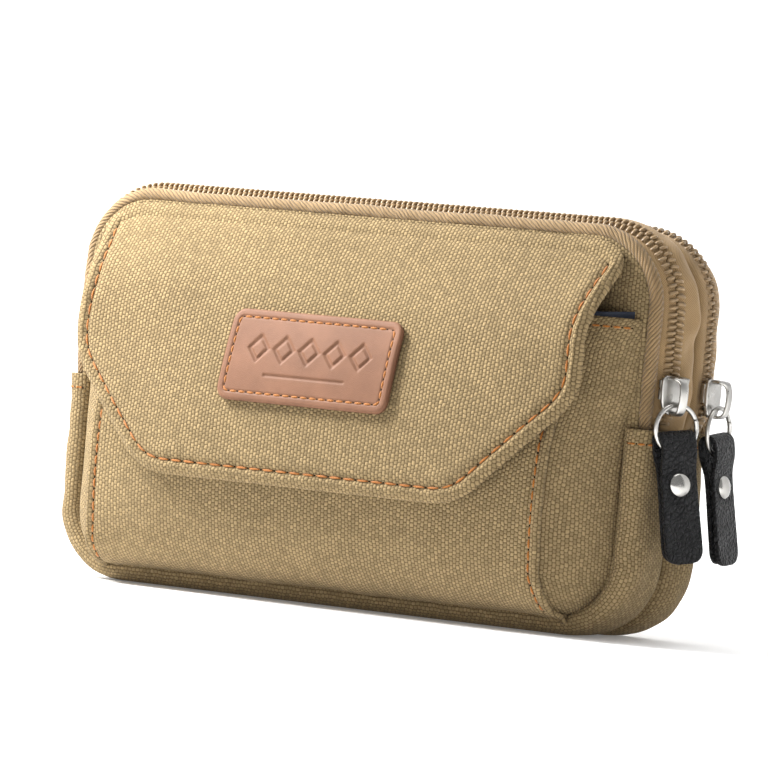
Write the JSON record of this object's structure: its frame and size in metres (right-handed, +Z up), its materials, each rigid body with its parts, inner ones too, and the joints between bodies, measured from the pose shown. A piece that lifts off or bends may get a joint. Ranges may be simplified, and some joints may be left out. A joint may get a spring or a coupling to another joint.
{
  "type": "belt pouch",
  "caption": "Small canvas pouch with two zipped compartments side by side, a gusseted flap pocket with a leather label, ring pulls of folded leather and belt loops behind.",
  "frame": {"origin": "on the base, midway along the bag's width, under the front compartment", "axes": "+Z up, -Y out of the pouch's front, +X to the end where the closed sliders sit"},
  "size_m": [0.1884, 0.0628, 0.1075],
  "materials": {
    "canvas": "coarse khaki canvas, plain weave",
    "piping_twill": "tan twill, rolled",
    "zip_tape": "tan twill tape",
    "zip_coil": "tan nylon coil",
    "lining": "navy polyester lining",
    "foam": "soft foam sheet",
    "hook_tape": "black hook tape",
    "loop_tape": "black loop pile",
    "label_leather": "smooth tan leather, pressed border",
    "pull_leather": "black pebbled leather",
    "rivet_nickel": "polished nickel plate",
    "slider_nickel": "nickel plated zinc and wire"
  },
  "bodies": {
    "bag": {"front_panel": "canvas", "front_padding": "foam", "front_lining": "lining", "front_gusset": "canvas", "front_piping": "piping_twill", "front_zip_front_tape": "zip_tape", "front_zip_rear_tape": "zip_tape", "front_zip_front_coil": "zip_coil", "front_zip_rear_coil": "zip_coil", "divider_panel": "lining", "rear_panel": "canvas", "rear_padding": "foam", "rear_lining": "lining", "rear_gusset": "canvas", "rear_piping": "piping_twill", "rear_zip_front_tape": "zip_tape", "rear_zip_rear_tape": "zip_tape", "rear_zip_front_coil": "zip_coil", "rear_zip_rear_coil": "zip_coil", "pocket_front": "canvas", "pocket_lining": "lining", "pocket_gusset_left": "canvas", "pocket_gusset_right": "canvas", "loop_patch": "loop_tape", "belt_loop_left": "canvas", "belt_loop_right": "canvas"},
    "flap": {"flap_canvas": "canvas", "flap_lining": "lining", "hook_patch": "hook_tape", "leather_label": "label_leather"},
    "front_slider": {"front_slider_body": "slider_nickel", "front_slider_crown": "slider_nickel"},
    "front_ring": {"front_pull_ring": "slider_nickel"},
    "front_pull": {"front_pull_leather": "pull_leather", "front_pull_rivet": "rivet_nickel"},
    "rear_slider": {"rear_slider_body": "slider_nickel", "rear_slider_crown": "slider_nickel"},
    "rear_ring": {"rear_pull_ring": "slider_nickel"},
    "rear_pull": {"rear_pull_leather": "pull_leather", "rear_pull_rivet": "rivet_nickel"}
  },
  "joints": [
    {"name": "flap_hinge", "type": "hinge", "parent": "bag", "child": "flap", "pos_m": [0, -0.0118, 0.0978], "axis": [-1, 0, 0], "range_deg": [0, 150]},
    {"name": "front_zip_slide", "type": "slide", "parent": "bag", "child": "front_slider", "axis": [0, 0, 1], "range_m": [0, 0.016]},
    {"name": "front_ring_swing", "type": "hinge", "parent": "front_slider", "child": "front_ring", "pos_m": [0.09167, -0.00695, 0.0598], "axis": [-0.5, -0.866, 0], "range_deg": [-2, 150]},
    {"name": "front_pull_swing", "type": "hinge", "parent": "front_ring", "child": "front_pull", "pos_m": [0.09167, -0.00695, 0.04938], "axis": [-0.5, -0.866, 0], "range_deg": [-3, 12]},
    {"name": "rear_zip_slide", "type": "slide", "parent": "bag", "child": "rear_slider", "axis": [0, 0, 1], "range_m": [0, 0.016]},
    {"name": "rear_ring_swing", "type": "hinge", "parent": "rear_slider", "child": "rear_ring", "pos_m": [0.0939, 0.0114, 0.0598], "axis": [0, -1, 0], "range_deg": [-2, 150]},
    {"name": "rear_pull_swing", "type": "hinge", "parent": "rear_ring", "child": "rear_pull", "pos_m": [0.0939, 0.0114, 0.04938], "axis": [0, -1, 0], "range_deg": [-3, 12]}
  ]
}
